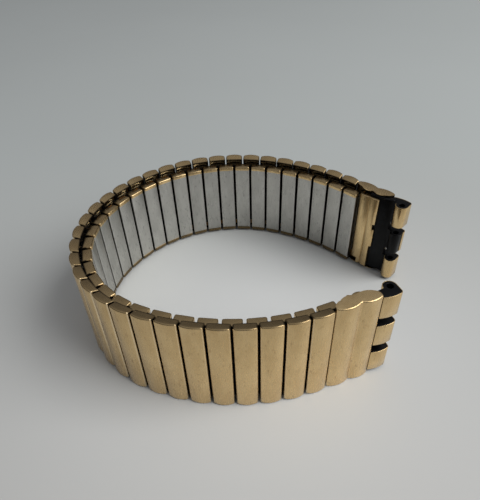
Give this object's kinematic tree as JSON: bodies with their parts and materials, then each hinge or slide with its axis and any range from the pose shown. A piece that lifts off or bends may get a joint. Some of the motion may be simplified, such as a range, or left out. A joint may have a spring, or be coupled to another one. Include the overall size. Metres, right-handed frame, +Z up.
{
  "type": "expansion watch band",
  "caption": "Gold-tone expansion watch band of two staggered sleeve-link layers on sprung bows, with humped end links and black knuckled lug adapters, curled open on its edge.",
  "frame": {"origin": "the middle of the band's footprint, on the surface that its lower long edge stands on", "axes": "+Z runs up across the band's width, +X runs towards the open mouth of the curl, and +Y to the back, where the far end link is"},
  "size_m": [0.0606, 0.0494, 0.018],
  "materials": {
    "gold_tone_plate": "satin gold-tone plate",
    "steel_sheet": "brushed steel sheet",
    "spring_steel": "bright spring steel",
    "black_adapter": "black, slightly worn"
  },
  "bodies": {
    "stretch_01": {"gold_covers_01": "gold_tone_plate", "steel_sleeves_01": "steel_sheet", "bows_and_springs_01": "spring_steel"},
    "stretch_02": {"gold_covers_02": "gold_tone_plate", "steel_sleeves_02": "steel_sheet", "bows_and_springs_02": "spring_steel"},
    "bows_02": {"swing_bows_02": "spring_steel"},
    "stretch_03": {"gold_covers_03": "gold_tone_plate", "steel_sleeves_03": "steel_sheet", "bows_and_springs_03": "spring_steel"},
    "stretch_04": {"gold_covers_04": "gold_tone_plate", "steel_sleeves_04": "steel_sheet", "bows_and_springs_04": "spring_steel"},
    "bows_04": {"swing_bows_04": "spring_steel"},
    "stretch_05": {"gold_covers_05": "gold_tone_plate", "steel_sleeves_05": "steel_sheet", "bows_and_springs_05": "spring_steel"},
    "stretch_06": {"gold_covers_06": "gold_tone_plate", "steel_sleeves_06": "steel_sheet", "bows_and_springs_06": "spring_steel"},
    "bows_06": {"swing_bows_06": "spring_steel"},
    "stretch_07": {"gold_covers_07": "gold_tone_plate", "steel_sleeves_07": "steel_sheet", "bows_and_springs_07": "spring_steel"},
    "stretch_08": {"gold_covers_08": "gold_tone_plate", "steel_sleeves_08": "steel_sheet", "bows_and_springs_08": "spring_steel"},
    "bows_08": {"swing_bows_08": "spring_steel"},
    "stretch_09": {"gold_covers_09": "gold_tone_plate", "steel_sleeves_09": "steel_sheet", "bows_and_springs_09": "spring_steel"},
    "stretch_10": {"gold_covers_10": "gold_tone_plate", "steel_sleeves_10": "steel_sheet", "bows_and_springs_10": "spring_steel"},
    "bows_10": {"swing_bows_10": "spring_steel"},
    "stretch_11": {"gold_covers_11": "gold_tone_plate", "steel_sleeves_11": "steel_sheet", "bows_and_springs_11": "spring_steel"},
    "stretch_12": {"gold_covers_12": "gold_tone_plate", "steel_sleeves_12": "steel_sheet", "bows_and_springs_12": "spring_steel"},
    "bows_12": {"swing_bows_12": "spring_steel"},
    "stretch_13": {"gold_covers_13": "gold_tone_plate", "steel_sleeves_13": "steel_sheet", "bows_and_springs_13": "spring_steel"},
    "stretch_14": {"gold_covers_14": "gold_tone_plate", "steel_sleeves_14": "steel_sheet", "bows_and_springs_14": "spring_steel"},
    "bows_14": {"swing_bows_14": "spring_steel"},
    "near_end": {"near_end_shell": "gold_tone_plate", "near_end_sleeve": "steel_sheet", "near_back_plate": "gold_tone_plate", "near_lug_adapter": "black_adapter", "near_knuckle_wraps": "gold_tone_plate"},
    "far_end": {"far_end_shell": "gold_tone_plate", "far_end_sleeve": "steel_sheet", "far_back_plate": "gold_tone_plate", "far_lug_adapter": "black_adapter", "far_knuckle_wraps": "gold_tone_plate"}
  },
  "joints": [
    {"name": "draw_out_08", "type": "hinge", "parent": "stretch_07", "child": "bows_08", "pos_m": [-0.02841, 0.00404, 0.009], "axis": [0, 0, 1], "range_deg": [0, 60], "stiffness_Nm_per_rad": 0.004},
    {"name": "level_08", "type": "hinge", "parent": "bows_08", "child": "stretch_08", "pos_m": [-0.02763, 0.00329, 0.009], "axis": [0, 0, 1], "range_deg": [-60, 0]},
    {"name": "bend_09", "type": "hinge", "parent": "stretch_08", "child": "stretch_09", "pos_m": [-0.02341, 0.01372, 0.009], "axis": [0, 0, 1], "range_deg": [-4, 12]},
    {"name": "draw_out_10", "type": "hinge", "parent": "stretch_09", "child": "bows_10", "pos_m": [-0.01805, 0.01865, 0.009], "axis": [0, 0, 1], "range_deg": [0, 60]},
    {"name": "level_10", "type": "hinge", "parent": "bows_10", "child": "stretch_10", "pos_m": [-0.01797, 0.01757, 0.009], "axis": [0, 0, 1], "range_deg": [-60, 0]},
    {"name": "bend_11", "type": "hinge", "parent": "stretch_10", "child": "stretch_11", "pos_m": [-0.01157, 0.02196, 0.009], "axis": [0, 0, 1], "range_deg": [-4, 12]},
    {"name": "draw_out_12", "type": "hinge", "parent": "stretch_11", "child": "bows_12", "pos_m": [-0.00079, 0.0234, 0.009], "axis": [0, 0, 1], "range_deg": [0, 60]},
    {"name": "level_12", "type": "hinge", "parent": "bows_12", "child": "stretch_12", "pos_m": [-0.0014, 0.02251, 0.009], "axis": [0, 0, 1], "range_deg": [-60, 0]},
    {"name": "bend_13", "type": "hinge", "parent": "stretch_12", "child": "stretch_13", "pos_m": [0.00634, 0.02189, 0.009], "axis": [0, 0, 1], "range_deg": [-4, 12]},
    {"name": "draw_out_14", "type": "hinge", "parent": "stretch_13", "child": "bows_14", "pos_m": [0.01288, 0.01875, 0.009], "axis": [0, 0, 1], "range_deg": [0, 60]},
    {"name": "level_14", "type": "hinge", "parent": "bows_14", "child": "stretch_14", "pos_m": [0.01193, 0.01824, 0.009], "axis": [0, 0, 1], "range_deg": [-60, 0]},
    {"name": "bend_15", "type": "hinge", "parent": "stretch_14", "child": "far_end", "pos_m": [0.02206, 0.01095, 0.009], "axis": [0, 0, 1], "range_deg": [-4, 12]},
    {"name": "bend_07", "type": "hinge", "parent": "stretch_07", "child": "stretch_06", "pos_m": [-0.02887, -0.00325, 0.009], "axis": [0, 0, -1], "range_deg": [-4, 12]},
    {"name": "draw_out_06", "type": "hinge", "parent": "stretch_06", "child": "bows_06", "pos_m": [-0.02574, -0.01034, 0.009], "axis": [0, 0, 1], "range_deg": [0, 60]},
    {"name": "level_06", "type": "hinge", "parent": "bows_06", "child": "stretch_05", "pos_m": [-0.02682, -0.01026, 0.009], "axis": [0, 0, 1], "range_deg": [-60, 0]},
    {"name": "bend_05", "type": "hinge", "parent": "stretch_05", "child": "stretch_04", "pos_m": [-0.01965, -0.01846, 0.009], "axis": [0, 0, -1], "range_deg": [-4, 12]},
    {"name": "draw_out_04", "type": "hinge", "parent": "stretch_04", "child": "bows_04", "pos_m": [-0.01225, -0.02085, 0.009], "axis": [0, 0, 1], "range_deg": [0, 60]},
    {"name": "level_04", "type": "hinge", "parent": "bows_04", "child": "stretch_03", "pos_m": [-0.01307, -0.02156, 0.009], "axis": [0, 0, 1], "range_deg": [-60, 0]},
    {"name": "bend_03", "type": "hinge", "parent": "stretch_03", "child": "stretch_02", "pos_m": [-0.006, -0.02318, 0.009], "axis": [0, 0, -1], "range_deg": [-4, 12]},
    {"name": "draw_out_02", "type": "hinge", "parent": "stretch_02", "child": "bows_02", "pos_m": [0.00523, -0.02185, 0.009], "axis": [0, 0, 1], "range_deg": [0, 60]},
    {"name": "level_02", "type": "hinge", "parent": "bows_02", "child": "stretch_01", "pos_m": [0.00485, -0.02287, 0.009], "axis": [0, 0, 1], "range_deg": [-60, 0]},
    {"name": "bend_01", "type": "hinge", "parent": "stretch_01", "child": "near_end", "pos_m": [0.01179, -0.02083, 0.009], "axis": [0, 0, -1], "range_deg": [-4, 12]}
  ],
  "couplings": [
    {"joint": "level_08", "follows": "draw_out_08", "ratio": -1},
    {"joint": "draw_out_10", "follows": "draw_out_08", "ratio": 1},
    {"joint": "level_10", "follows": "draw_out_08", "ratio": -1},
    {"joint": "draw_out_12", "follows": "draw_out_08", "ratio": 1},
    {"joint": "level_12", "follows": "draw_out_08", "ratio": -1},
    {"joint": "draw_out_14", "follows": "draw_out_08", "ratio": 1},
    {"joint": "level_14", "follows": "draw_out_08", "ratio": -1},
    {"joint": "draw_out_06", "follows": "draw_out_08", "ratio": 1},
    {"joint": "level_06", "follows": "draw_out_08", "ratio": -1},
    {"joint": "draw_out_04", "follows": "draw_out_08", "ratio": 1},
    {"joint": "level_04", "follows": "draw_out_08", "ratio": -1},
    {"joint": "draw_out_02", "follows": "draw_out_08", "ratio": 1},
    {"joint": "level_02", "follows": "draw_out_08", "ratio": -1}
  ]
}
